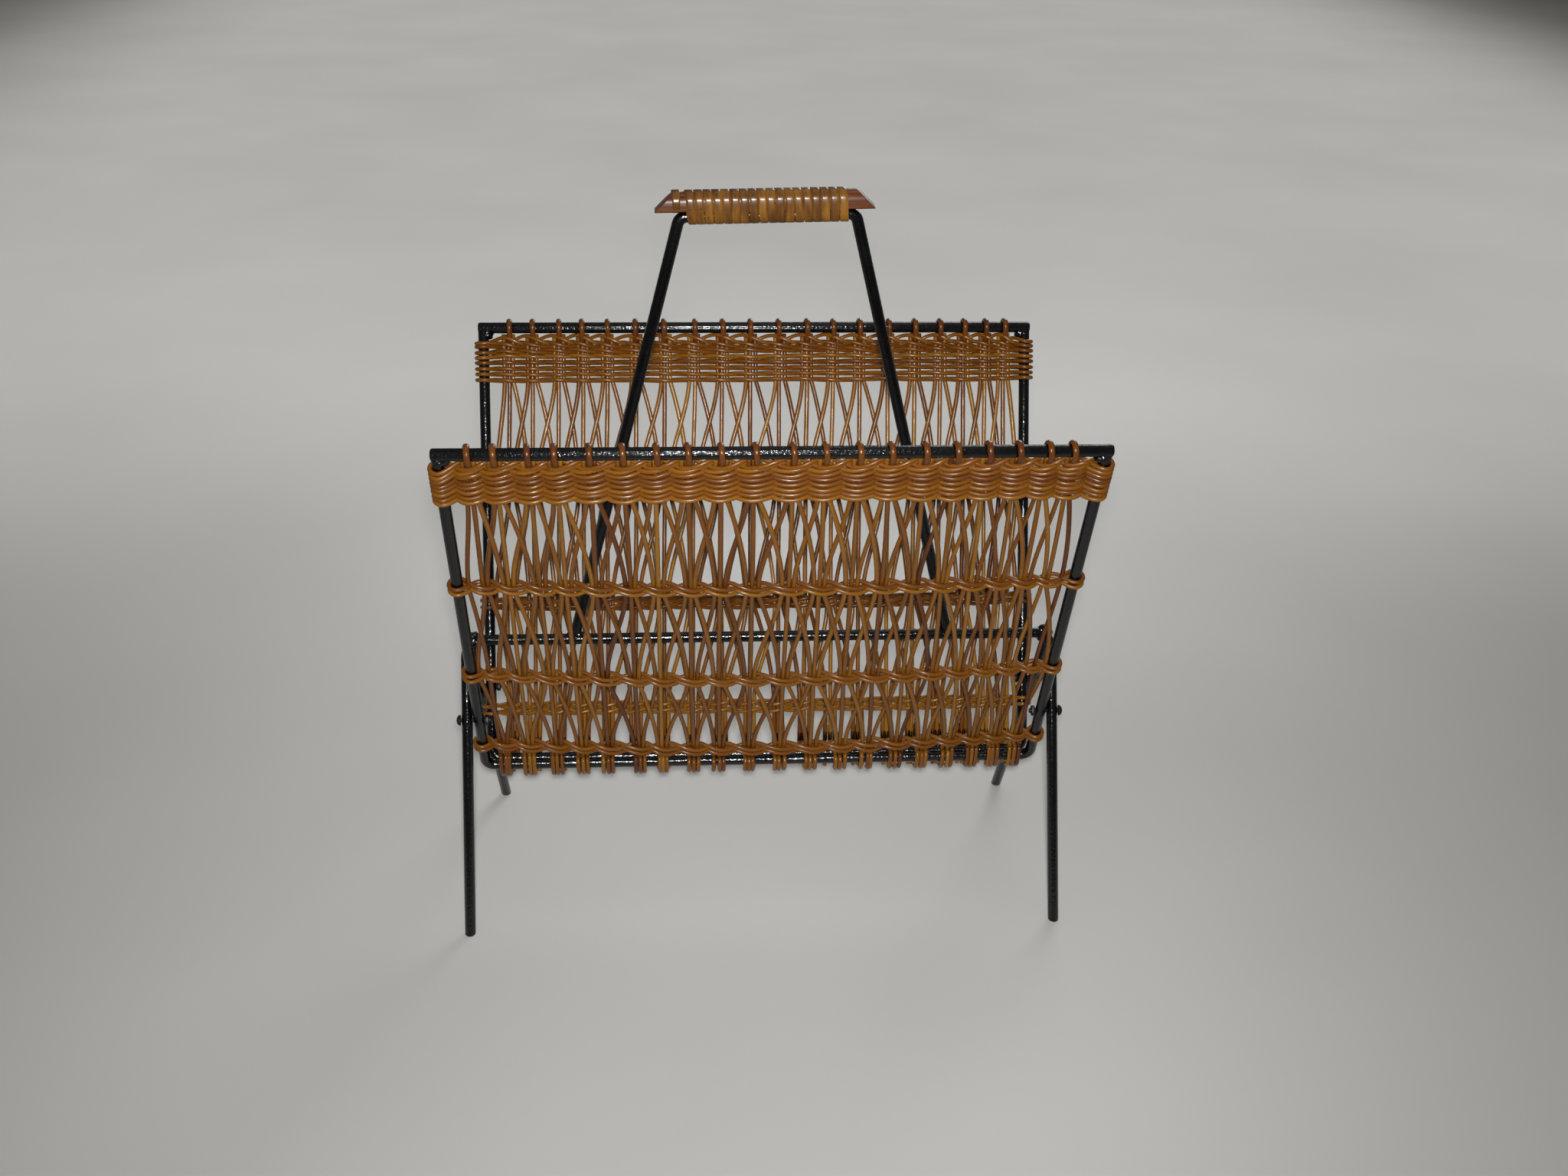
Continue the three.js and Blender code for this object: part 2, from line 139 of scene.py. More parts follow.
# Where each bundle of stakes stands, from the panel's middle, under the top rod and over the bottom rod
BUNDLES = {
    "front": (
        [
            -191.7, -175.4, -154.4, -138.0, -116.8, -95.6, -75.8, -55.9, -34.5, -13.6,
            11.2, 31.3, 52.9, 73.6, 94.9, 114.2, 134.6, 153.5, 172.5, 188.7,
        ],
        [
            -194.5, -176.4, -155.2, -136.3, -116.7, -92.8, -75.4, -51.3, -32.3, -9.4,
            14.3, 38.6, 61.1, 81.9, 104.0, 124.9, 144.6, 163.2, 179.5, 196.0,
        ],
    ),
    "rear": (
        [
            -187.4, -169.7, -149.6, -131.8, -113.4, -91.5, -69.5, -47.9, -26.4, -4.7,
            17.5, 38.1, 58.2, 78.7, 100.5, 121.2, 140.7, 158.6, 175.4, 189.5,
        ],
        [
            -190.4, -172.7, -154.6, -135.8, -117.1, -96.0, -74.8, -51.8, -30.0, -8.1,
            14.3, 34.1, 54.4, 75.9, 98.8, 118.2, 138.7, 157.6, 174.4, 190.5,
        ],
    ),
}
BUNDLE_COUNT = 20


def mm(*values):
    """A place or a size in millimetres, as a vector in metres"""
    return Vector(values) / 1000


# ---- Materials ----


def linear(hex_colour):
    """An sRGB hex colour as the linear values that the shader works with"""
    parts = [int(hex_colour[i : i + 2], 16) / 255 for i in (1, 3, 5)]
    return tuple(p / 12.92 if p <= 0.04045 else ((p + 0.055) / 1.055) ** 2.4 for p in parts) + (1.0,)


def feed(material, node, links):
    """Links a node's sockets to the outputs that feed them"""
    for key, source in links.items():
        material.node_tree.links.new(source, node.inputs[key])


def add_node(material, kind, settings=None, links=None):
    """Adds a node with its settings, each a socket or a property, and the sockets that feed it"""
    node = material.node_tree.nodes.new(kind)
    for key, value in (settings or {}).items():
        if isinstance(key, int) or key in node.inputs:
            node.inputs[key].default_value = value
        else:
            setattr(node, key, value)
    feed(material, node, links or {})
    return node


def set_ramp(ramp, stops):
    """Gives a colour ramp its stops, each a position and a hex colour"""
    elements = ramp.color_ramp.elements
    while len(elements) < len(stops):
        elements.new(0.5)
    for element, (position, colour) in zip(elements, stops):
        element.position = position
        element.color = linear(colour)


def new_material(name):
    """A material and its shader"""
    material = bpy.data.materials.new(name)
    material.use_nodes = True
    return material, material.node_tree.nodes["Principled BSDF"]


def brushed_gloss_enamel():
    """Black enamel brushed on drawn steel rod: near-black with a bluish sheen, a little lumpy, so that
    its highlights break into specks"""
    material, skin = new_material("black_gloss_enamel")
    place = add_node(material, "ShaderNodeTexCoord").outputs["Object"]
    # lumps of 2 mm in the brushed coat, swells of 10 mm
    lumps = add_node(material, "ShaderNodeTexNoise", {"Scale": 520.0, "Detail": 2.0}, {"Vector": place})
    swells = add_node(material, "ShaderNodeTexNoise", {"Scale": 95.0, "Detail": 2.0}, {"Vector": place})
    tint = add_node(material, "ShaderNodeValToRGB", links={"Fac": swells.outputs["Fac"]})
    set_ramp(tint, [(0.35, "#020203"), (0.7, "#060709")])
    gloss = add_node(
        material, "ShaderNodeMapRange", {"To Min": 0.14, "To Max": 0.2}, {"Value": swells.outputs["Fac"]}
    )
    relief = add_node(
        material,
        "ShaderNodeBump",
        {"Strength": 0.8, "Distance": 0.00038},
        {"Height": lumps.outputs["Fac"]},
    )
    skin.inputs["Specular IOR Level"].default_value = 0.5
    feed(
        material,
        skin,
        {
            "Base Color": tint.outputs["Color"],
            "Roughness": gloss.outputs["Result"],
            "Normal": relief.outputs["Normal"],
        },
    )
    return material


def blackened_steel():
    """Blackened machine screws: turned steel under a dark oxide, duller and greyer than the enamel"""
    material, skin = new_material("blackened_steel")
    place = add_node(material, "ShaderNodeTexCoord").outputs["Object"]
    # the oxide's grain is far finer than a millimetre, and is drawn 1 mm coarse to show
    grain = add_node(material, "ShaderNodeTexNoise", {"Scale": 900.0, "Detail": 2.0}, {"Vector": place})
    tint = add_node(material, "ShaderNodeValToRGB", links={"Fac": grain.outputs["Fac"]})
    set_ramp(tint, [(0.3, "#101011"), (0.75, "#232325")])
    skin.inputs["Metallic"].default_value = 0.6
    skin.inputs["Roughness"].default_value = 0.42
    feed(material, skin, {"Base Color": tint.outputs["Color"]})
    return material


def varnished_reed(name, stops):
    """Round reed of 3 to 3.4 mm, varnished: each strand has its own golden to reddish brown, with long
    fibre streaks, a few dark flecks and a satin varnish over them"""
    material, skin = new_material(name)
    run = add_node(material, "ShaderNodeUVMap", {"uv_map": "strand_run"}).outputs["UV"]
    tone = add_node(material, "ShaderNodeAttribute", {"attribute_name": "strand_tone"}).outputs["Fac"]
    parts = add_node(material, "ShaderNodeSeparateXYZ", links={"Vector": run})
    # one unit of the noise is 25 mm along the strand and a sixth of the way round it
    along = add_node(material, "ShaderNodeMath", {"operation": "MULTIPLY", 1: 40.0}, {0: parts.outputs["X"]})
    around = add_node(material, "ShaderNodeMath", {"operation": "MULTIPLY", 1: 6.0}, {0: parts.outputs["Y"]})
    own = add_node(material, "ShaderNodeMath", {"operation": "MULTIPLY", 1: 97.0}, {0: tone})
    spot = add_node(
        material,
        "ShaderNodeCombineXYZ",
        links={"X": along.outputs[0], "Y": around.outputs[0], "Z": own.outputs[0]},
    ).outputs["Vector"]
    streaks = add_node(material, "ShaderNodeTexNoise", {"Scale": 1.0, "Detail": 4.0}, {"Vector": spot})
    # the strand's own tone, a little lighter and darker along its streaks
    drift = add_node(
        material,
        "ShaderNodeMath",
        {"operation": "MULTIPLY_ADD", 1: 0.55, 2: -0.14},
        {0: streaks.outputs["Fac"]},
    )
    shade = add_node(
        material, "ShaderNodeMath", {"operation": "MULTIPLY_ADD", 1: 0.72}, {0: tone, 2: drift.outputs[0]}
    )
    colour = add_node(material, "ShaderNodeValToRGB", links={"Fac": shade.outputs[0]})
    set_ramp(colour, stops)
    # flecks some 2 mm long and 0.7 mm wide, a fifteenth of the way round
    fleck_spot = add_node(
        material, "ShaderNodeVectorMath", {"operation": "MULTIPLY", 1: (12.0, 2.5, 1.0)}, {0: spot}
    ).outputs["Vector"]
    fleck = add_node(material, "ShaderNodeTexNoise", {"Scale": 1.0, "Detail": 1.0}, {"Vector": fleck_spot})
    fleck_mask = add_node(
        material,
        "ShaderNodeMapRange",
        {"From Min": 0.66, "From Max": 0.74, "To Max": 0.7},
        {"Value": fleck.outputs["Fac"]},
    )
    # the sockets 6 and 7 of a mix are its two colours
    flecked = add_node(
        material,
        "ShaderNodeMix",
        {"data_type": "RGBA", "blend_type": "MULTIPLY", 7: linear("#7a4c2a")},
        {0: fleck_mask.outputs["Result"], 6: colour.outputs["Color"]},
    )
    # fibres 0.35 mm wide, thirty of them round the strand, broken every 8 mm or so
    fibre_spot = add_node(
        material, "ShaderNodeVectorMath", {"operation": "MULTIPLY", 1: (3.0, 5.0, 1.0)}, {0: spot}
    ).outputs["Vector"]
    fibres = add_node(material, "ShaderNodeTexNoise", {"Scale": 1.0, "Detail": 3.0}, {"Vector": fibre_spot})
    relief = add_node(
        material, "ShaderNodeBump", {"Strength": 0.25, "Distance": 0.0003}, {"Height": fibres.outputs["Fac"]}
    )
    gloss = add_node(
        material, "ShaderNodeMapRange", {"To Min": 0.2, "To Max": 0.38}, {"Value": fibres.outputs["Fac"]}
    )
    skin.inputs["Specular IOR Level"].default_value = 0.34
    feed(
        material,
        skin,
        {
            "Base Color": flecked.outputs[2],
            "Roughness": gloss.outputs["Result"],
            "Normal": relief.outputs["Normal"],
        },
    )
    return material


def split_brown_cane():
    """A split brown cane under the binding: reddish brown bark, long grain along the grip, varnished"""
    material, skin = new_material("split_brown_cane")
    place = add_node(material, "ShaderNodeTexCoord").outputs["Object"]
    # grain: streaks 40 mm long and 1.2 mm wide
    stretch = add_node(
        material, "ShaderNodeVectorMath", {"operation": "MULTIPLY", 1: (25.0, 800.0, 800.0)}, {0: place}
    ).outputs["Vector"]
    grain = add_node(material, "ShaderNodeTexNoise", {"Scale": 1.0, "Detail": 4.0}, {"Vector": stretch})
    colour = add_node(material, "ShaderNodeValToRGB", links={"Fac": grain.outputs["Fac"]})
    set_ramp(colour, [(0.3, "#3a1c0c"), (0.5, "#552c12"), (0.72, "#6e421a")])
    relief = add_node(
        material, "ShaderNodeBump", {"Strength": 0.3, "Distance": 0.0003}, {"Height": grain.outputs["Fac"]}
    )
    skin.inputs["Roughness"].default_value = 0.32
    feed(material, skin, {"Base Color": colour.outputs["Color"], "Normal": relief.outputs["Normal"]})
    return material


def flat_cane_strap():
    """Flat cane bark 5.8 mm wide, wound round the grip: yellow-orange to brown from turn to turn, fine
    fibres along it, dark flecks and a glossy bark side"""
    material, skin = new_material("flat_cane_strap")
    run = add_node(material, "ShaderNodeUVMap", {"uv_map": "strand_run"}).outputs["UV"]
    # broad change of colour about every 30 mm of strap
    broad_spot = add_node(
        material, "ShaderNodeVectorMath", {"operation": "MULTIPLY", 1: (34.0, 1.2, 1.0)}, {0: run}
    ).outputs["Vector"]
    broad = add_node(material, "ShaderNodeTexNoise", {"Scale": 1.0, "Detail": 2.0}, {"Vector": broad_spot})
    # fibres of 0.3 mm, drawn 1.4 mm wide with finer ones in them, so that they show
    fibre_spot = add_node(
        material, "ShaderNodeVectorMath", {"operation": "MULTIPLY", 1: (60.0, 9.0, 1.0)}, {0: run}
    ).outputs["Vector"]
    fibres = add_node(material, "ShaderNodeTexNoise", {"Scale": 1.0, "Detail": 4.0}, {"Vector": fibre_spot})
    shade = add_node(
        material,
        "ShaderNodeMath",
        {"operation": "MULTIPLY_ADD", 1: 0.5},
        {0: fibres.outputs["Fac"], 2: broad.outputs["Fac"]},
    )
    colour = add_node(material, "ShaderNodeValToRGB", links={"Fac": shade.outputs[0]})
    set_ramp(colour, [(0.5, "#46290c"), (0.66, "#583610"), (0.78, "#6b4513"), (0.92, "#80571a")])
    # flecks some 2.5 mm across
    fleck_spot = add_node(
        material, "ShaderNodeVectorMath", {"operation": "MULTIPLY", 1: (420.0, 5.0, 1.0)}, {0: run}
    ).outputs["Vector"]
    fleck = add_node(material, "ShaderNodeTexNoise", {"Scale": 1.0, "Detail": 1.0}, {"Vector": fleck_spot})
    fleck_mask = add_node(
        material,
        "ShaderNodeMapRange",
        {"From Min": 0.68, "From Max": 0.76, "To Max": 0.85},
        {"Value": fleck.outputs["Fac"]},
    )
    flecked = add_node(
        material,
        "ShaderNodeMix",
        {"data_type": "RGBA", "blend_type": "MULTIPLY", 7: linear("#6b4020")},
        {0: fleck_mask.outputs["Result"], 6: colour.outputs["Color"]},
    )
    relief = add_node(
        material, "ShaderNodeBump", {"Strength": 0.3, "Distance": 0.0003}, {"Height": fibres.outputs["Fac"]}
    )
    skin.inputs["Roughness"].default_value = 0.28
    feed(material, skin, {"Base Color": flecked.outputs[2], "Normal": relief.outputs["Normal"]})
    return material


def plain_cloth_floor():
    """A pale cotton cloth spread on the floor: matt, and uneven in tone over half a metre or so"""
    material, skin = new_material("pale_cloth")
    place = add_node(material, "ShaderNodeTexCoord").outputs["Object"]
    clouds = add_node(material, "ShaderNodeTexNoise", {"Scale": 2.2, "Detail": 2.0}, {"Vector": place})
    colour = add_node(material, "ShaderNodeValToRGB", links={"Fac": clouds.outputs["Fac"]})
    set_ramp(colour, [(0.3, "#c6c5c1"), (0.7, "#cdccc9")])
    skin.inputs["Roughness"].default_value = 0.9
    feed(material, skin, {"Base Color": colour.outputs["Color"]})
    return material


enamel = brushed_gloss_enamel()
screw_steel = blackened_steel()
stake_reed = varnished_reed(
    "varnished_stake_reed",
    [(0.0, "#32160c"), (0.16, "#50270c"), (0.42, "#653a0b"), (0.68, "#784c10"), (0.92, "#8a621c")],
)
weaver_reed = varnished_reed(
    "varnished_weaver_reed",
    [(0.0, "#421e06"), (0.25, "#5a2f08"), (0.5, "#6d3f0a"), (0.75, "#7c4f0f"), (0.95, "#8d631c")],
)
core_cane = split_brown_cane()
strap_cane = flat_cane_strap()


# ---- Handwork helpers ----


def begin_piece():
    """Leaves edit mode and selects nothing, so that an operator acts on the new piece alone"""
    if bpy.context.object and bpy.context.object.mode != "OBJECT":
        bpy.ops.object.mode_set(mode="OBJECT")
    bpy.ops.object.select_all(action="DESELECT")


def finish_piece(name, material, smooth_angle=40.0):
    """Names the active piece, puts its place into its mesh, and gives it its finish"""
    piece = bpy.context.object
    bpy.ops.object.transform_apply(location=True, rotation=True, scale=True)
    bpy.ops.object.shade_smooth_by_angle(angle=math.radians(smooth_angle))
    piece.name = name
    piece.data.name = name
    piece.data.materials.clear()
    piece.data.materials.append(material)
    return piece


def bevel_sharp_edges(width, steps, sharpness=50.0):
    """Ends edit mode by rounding every edge that is sharper than an angle, by a width in millimetres"""
    bpy.ops.mesh.select_all(action="DESELECT")
    bpy.ops.mesh.edges_select_sharp(sharpness=math.radians(sharpness))
    bpy.ops.mesh.bevel(offset=width / 1000, segments=steps)
    bpy.ops.object.mode_set(mode="OBJECT")


def steel_rod(name, corners, bend_radius=0.0, end_bevel=0.5, floor_cut=False, bevel_steps=3):
    """A steel rod: a round blank pushed out through its corners and bent round a mandrel at each. One
    that runs past the floor is cut flat there"""
    begin_piece()
    corners = [mm(*corner) for corner in corners]
    headings = [(b - a).normalized() for a, b in zip(corners, corners[1:])]
    bpy.ops.mesh.primitive_circle_add(
        vertices=ROD_FLATS,
        radius=ROD / 1000,
        location=corners[0],
        rotation=headings[0].to_track_quat("Z", "Y").to_euler(),
    )
    bpy.ops.object.mode_set(mode="EDIT")
    bpy.ops.mesh.select_all(action="SELECT")
    here = corners[0]
    for corner, before, after in zip(corners[1:], headings, headings[1:]):
        turn = before.angle(after)
        trim = bend_radius / 1000 * math.tan(turn / 2)
        start = corner - before * trim
        axis = before.cross(after).normalized()
        centre = start + axis.cross(before) * (bend_radius / 1000)
        bpy.ops.mesh.extrude_region_move(TRANSFORM_OT_translate={"value": start - here})
        bpy.ops.mesh.spin(steps=BEND_STEPS, angle=-turn, center=centre, axis=axis)
        here = corner + after * trim
    bpy.ops.mesh.extrude_region_move(TRANSFORM_OT_translate={"value": corners[-1] - here})
    bpy.ops.mesh.select_all(action="SELECT")
    bpy.ops.mesh.remove_doubles(threshold=0.000001)
    bpy.ops.mesh.fill_holes(sides=0)
    if floor_cut:
        bpy.ops.mesh.select_all(action="SELECT")
        bpy.ops.mesh.bisect(plane_co=(0, 0, 0), plane_no=(0, 0, 1), use_fill=True, clear_inner=True)
    bpy.ops.mesh.select_all(action="SELECT")
    bpy.ops.mesh.normals_make_consistent(inside=False)
    bevel_sharp_edges(end_bevel, bevel_steps)
    return finish_piece(name, enamel)


def weld_blob(name, place, size, turn=(0, 0, 0), seed=1):
    """A lump of weld metal run over a joint, slightly uneven under its paint. Its size is how far it
    reaches from its middle each way, and the seed tells one lump from another"""
    begin_piece()
    bpy.ops.mesh.primitive_ico_sphere_add(subdivisions=4, radius=0.001, location=mm(*place))
    blob = bpy.context.object
    for vertex in blob.data.vertices:
        bump = 1 + 0.22 * noise.noise(vertex.co * 1900 + Vector((seed * 7.3, 0, 0)))
        vertex.co = Vector([part * extent * bump for part, extent in zip(vertex.co, size)])
    blob.rotation_euler = turn
    return finish_piece(name, enamel)


# ---- Cane strands ----


def drawn_piece(name, places, faces, runs, material):
    """A piece from its places and faces. Its runs are how far each face's corners lie along and round
    their strand, which its material reads as a UV map"""
    mesh = bpy.data.meshes.new(name)
    mesh.from_pydata(places, [], faces)
    mesh.uv_layers.new(name="strand_run").data.foreach_set("uv", runs)
    mesh.materials.append(material)
    piece = bpy.data.objects.new(name, mesh)
    bpy.context.scene.collection.objects.link(piece)
    return piece


def strand_rings(points, radius, reference, sides, closed, flatness):
    """The rings of a strand along a path, each square to it, and how far along it each lies. A flat
    strand is wide along its reference, and the ends of an open one are rounded off"""
    points = np.asarray(points, float)
    if closed:
        forward = np.roll(points, -1, axis=0) - np.roll(points, 1, axis=0)
    else:
        forward = np.gradient(points, axis=0)
    forward /= np.linalg.norm(forward, axis=1, keepdims=True)
    radii = np.full(len(points), radius)
    if not closed:
        points = np.vstack([points[:1] - forward[:1] * 0.0003, points, points[-1:] + forward[-1:] * 0.0003])
        radii = np.concatenate([[radius * 0.72], radii, [radius * 0.72]])
        forward = np.vstack([forward[:1], forward, forward[-1:]])
    reference = np.broadcast_to(np.asarray(reference, float), forward.shape)
    first = reference - np.sum(reference * forward, axis=1, keepdims=True) * forward
    first /= np.linalg.norm(first, axis=1, keepdims=True)
    second = np.cross(forward, first)
    angles = np.linspace(0, 2 * math.pi, sides, endpoint=False)
    rings = (
        points[:, None]
        + radii[:, None, None] * (np.cos(angles)[None, :, None] * first[:, None])
        + radii[:, None, None] * (flatness * np.sin(angles)[None, :, None] * second[:, None])
    )
    steps = np.linalg.norm(np.diff(points, axis=0), axis=1)
    return rings, np.concatenate([[0], np.cumsum(steps)])


def strands_piece(name, strands, material, sides=8):
    """One piece of many strands. Each strand is a dict of points and radius in metres, reference
    direction, tone from 0 dark to 1 light, offset of its pattern, and whether it is closed or flat"""
    places, faces, runs, tones = [], [], [], []
    start = 0
    for strand in strands:
        closed = strand.get("closed", False)
        flatness = strand.get("flatness", 1.0)
        rings, lengths = strand_rings(
            strand["points"], strand["radius"], strand["reference"], sides, closed, flatness
        )
        count = len(rings)
        places.extend(rings.reshape(-1, 3).tolist())
        tones.append(np.full(count * sides, strand["tone"]))
        # a closed strand's last stretch, back to its start, is about as long as its first
        lengths = strand["offset"] + np.append(lengths, lengths[-1] + lengths[1])
        for ring in range(count if closed else count - 1):
            here, there = start + ring * sides, start + (ring + 1) % count * sides
            u0, u1 = lengths[ring], lengths[ring + 1]
            for k in range(sides):
                beside = (k + 1) % sides
                faces.append((here + k, here + beside, there + beside, there + k))
                runs.extend([u0, k / sides, u0, (k + 1) / sides, u1, (k + 1) / sides, u1, k / sides])
        if not closed:
            end = start + (count - 1) * sides
            faces.append(tuple(start + k for k in reversed(range(sides))))
            faces.append(tuple(end + k for k in range(sides)))
            runs.extend([lengths[0], 0.5] * sides + [lengths[count - 1], 0.5] * sides)
        start += count * sides
    piece = drawn_piece(name, places, faces, runs, material)
    piece.data.polygons.foreach_set("use_smooth", [len(face) == 4 for face in faces])
    tone_layer = piece.data.attributes.new("strand_tone", "FLOAT", "POINT")
    tone_layer.data.foreach_set("value", np.concatenate(tones))
    piece.data.update()
    return piece


# ---- Stand ----


def leg_place(hand, share):
    """A place on the axis of a rear leg, a share of the way from the crossbar to its foot"""
    pivot_share = PIVOT[0] / FOOT_REACH
    lean = (REAR_FOOT_HALF_SPACING - REAR_PIVOT_HALF_SPACING) / (1 - pivot_share)
    x = REAR_PIVOT_HALF_SPACING + lean * (share - pivot_share)
    return (hand * x, FOOT_REACH * share, CROSSBAR_HEIGHT * (1 - share))


front_leg_frame = steel_rod(
    "front_leg_frame_rod",
    [
        (-LEG_HALF_SPACING, -FOOT_REACH * PAST_FLOOR, CROSSBAR_HEIGHT * (1 - PAST_FLOOR)),
        (-LEG_HALF_SPACING, 0, CROSSBAR_HEIGHT),
        (LEG_HALF_SPACING, 0, CROSSBAR_HEIGHT),
        (LEG_HALF_SPACING, -FOOT_REACH * PAST_FLOOR, CROSSBAR_HEIGHT * (1 - PAST_FLOOR)),
    ],
    bend_radius=LEG_BEND,
    floor_cut=True,
)
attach(front_leg_frame, "stand")
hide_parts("front_leg_frame")

for word, hand in HANDS.items():
    leg = steel_rod(
        f"rear_{word}_leg_rod",
        [leg_place(hand, REAR_LEG_START), leg_place(hand, PAST_FLOOR)],
        floor_cut=True,
    )
    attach(leg, "stand")
    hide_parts(f"rear_{word}_leg")
    leg_weld = weld_blob(
        f"rear_{word}_leg_weld",
        (hand * 213.2, 1.0, CROSSBAR_HEIGHT - 0.9),
        (6.6, 5.4, 6.6),
        seed=3 + hand,
    )
    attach(leg_weld, "stand")

handle = steel_rod(
    "handle_bent_rod",
    [
        (-HANDLE_BASE, 0, HANDLE_START),
        (-HANDLE_TOP, 0, HANDLE_HEIGHT - HANDLE_SKEW),
        (HANDLE_TOP, 0, HANDLE_HEIGHT + HANDLE_SKEW),
        (HANDLE_BASE, 0, HANDLE_START),
    ],
    bend_radius=HANDLE_BEND,
)
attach(handle, "stand")
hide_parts("handle_rod")

for word, hand in HANDS.items():
    handle_weld = weld_blob(
        f"handle_{word}_weld",
        (hand * (HANDLE_BASE - 0.9), 0, CROSSBAR_HEIGHT + ROD),
        (6.2, 5.0, 2.6),
        seed=9 + hand,
    )
    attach(handle_weld, "stand")


# ---- Grip ----


def set_askew(piece):
    """Tilts a piece of the grip with the top of the handle, whose right end stands a little higher"""
    for vertex in piece.data.vertices:
        vertex.co.z += vertex.co.x * HANDLE_SKEW / HANDLE_TOP


def grip_core():
    """Half a brown cane laid along the handle's top rod, round above, its ends sawn on a slant"""
    begin_piece()
    axis = CORE_BASE + CORE_HEIGHT - CORE_RADIUS
    # a round blank whose lower half is pushed down flat onto the rod
    bpy.ops.mesh.primitive_cylinder_add(
        vertices=40,
        radius=CORE_RADIUS / 1000,
        depth=0.15,
        location=mm(0, 0, axis),
        rotation=(0, math.pi / 2, 0),
    )
    bpy.ops.object.transform_apply(location=True, rotation=True, scale=True)
    core = bpy.context.object
    for vertex in core.data.vertices:
        if vertex.co.z < axis / 1000 - 0.0005:
            vertex.co.z = CORE_BASE / 1000
    bpy.ops.object.mode_set(mode="EDIT")
    for hand, end in zip(HANDS.values(), CORE_ENDS):
        bpy.ops.mesh.select_all(action="SELECT")
        bpy.ops.mesh.bisect(
            plane_co=mm(end, 0, CORE_BASE), plane_no=(hand * 12, 0, 8), use_fill=True, clear_outer=True
        )
    bevel_sharp_edges(0.6, 3, sharpness=45)
    set_askew(core)
    return finish_piece("grip_split_cane", core_cane)


def strap_turns(name, start, end, turns, width, bottom):
    """Flat cane strap wound turn beside turn from one place along the grip to another. It goes over
    the core, and its inside is just below the bottom of what it binds"""
    # the strap's section, in shares of its width across and of its thickness out
    profile = [(-0.5, 0.1), (-0.42, 0.42), (-0.2, 0.5), (0.2, 0.5), (0.42, 0.42), (0.5, 0.1)]
    profile += [(0.46, -0.5), (-0.46, -0.5)]
    play = GAP + STRAP_THICKNESS / 2
    half_width = CORE_RADIUS + play
    top = CORE_BASE + CORE_HEIGHT + play
    half_straight = max(0, (top - bottom + play) / 2 - half_width)
    middle = (top + bottom - play) / 2
    steps = turns * STRAP_STEPS_PER_TURN
    places, faces, runs, centres, lengths = [], [], [], [], []
    for step in range(steps + 1):
        angle = 2 * math.pi * step / STRAP_STEPS_PER_TURN + 0.2
        share = step / steps
        x = start + (end - start) * share
        wobble = 0.25 * math.sin(angle * 1.7 + share * 9)
        out_y, out_z = math.cos(angle), math.sin(angle)
        y = half_width * out_y
        z = middle + half_width * out_z + half_straight * max(-1, min(1, out_z * 6))
        centres.append(Vector((x, y, z)))
        lengths.append(lengths[-1] + (centres[-1] - centres[-2]).length / 1000 if step else 0.0)
        for across, out in profile:
            rise = out * STRAP_THICKNESS
            places.append(tuple(mm(x + wobble + across * width, y + rise * out_y, z + rise * out_z)))
    count = len(profile)
    for step in range(steps):
        u0, u1 = lengths[step], lengths[step + 1]
        for k in range(count):
            a, b = step * count + k, step * count + (k + 1) % count
            v0, v1 = k / count, (k + 1) / count
            faces.append((a, a + count, b + count, b))
            runs.extend([u0, v0, u1, v0, u1, v1, u0, v1])
    faces.append(tuple(range(count)))
    faces.append(tuple(steps * count + k for k in reversed(range(count))))
    runs.extend([0.0, 0.5] * count + [lengths[-1], 0.5] * count)
    piece = drawn_piece(name, places, faces, runs, strap_cane)
    set_askew(piece)
    begin_piece()
    piece.select_set(True)
    bpy.context.view_layer.objects.active = piece
    bpy.ops.object.shade_smooth_by_angle(angle=math.radians(50))
    return piece


core = grip_core()
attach(core, "stand")
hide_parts("grip_core")

# eighteen turns bind the core to the rod, two narrow ones lie round the core alone
strap = strap_turns(
    "grip_strap_winding", start=-53.6, end=52.6, turns=18, width=5.8, bottom=HANDLE_HEIGHT - ROD
)
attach(strap, "stand")
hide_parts("grip_wrap")
strap_end = strap_turns(
    "grip_strap_end_turns", start=-62.2, end=-58.6, turns=2, width=3.6, bottom=CORE_BASE
)
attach(strap_end, "stand")


# ---- Panels ----


def on_panel(side, x, down, out):
    """Places on a panel, from millimetres on its own plane to metres in the basket's frame"""
    x, down, out = np.broadcast_arrays(np.asarray(x, float), down, out)
    y = side * (TOP_REACH - math.sin(TILT) * down + math.cos(TILT) * out)
    z = TOP_HEIGHT - math.cos(TILT) * down - math.sin(TILT) * out
    return np.stack([x, y, z], axis=-1) / 1000


def panel_frame(name, side, half):
    """A panel's top rod, its bent rod that makes the sides and the bottom, and the welds of the two"""

    def place(x, down):
        return tuple(on_panel(side, x, down, 0) * 1000)

    end = half + ROD
    rods = {
        "top_rod": steel_rod(
            f"{name}_top_steel", [place(-end, 0), place(end, 0)], end_bevel=1.3, bevel_steps=4
        ),
        "bent_rod": steel_rod(
            f"{name}_bent_steel",
            [
                place(-half, SIDE_ROD_START),
                place(-half, PANEL_LENGTH),
                place(half, PANEL_LENGTH),
                place(half, SIDE_ROD_START),
            ],
            bend_radius=PANEL_BEND,
        ),
    }
    for word, hand in HANDS.items():
        weld = weld_blob(
            f"{name}_{word}_top_weld",
            place(hand * (half - 2.2), 4.8),
            (5.6, 4.2, 3.9),
            turn=(side * -TILT, 0, 0),
            seed=17 + side + 3 * hand,
        )
        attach(weld, f"{name}_panel")
    for word, rod in rods.items():
        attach(rod, f"{name}_panel")
        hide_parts(f"{name}_{word}")


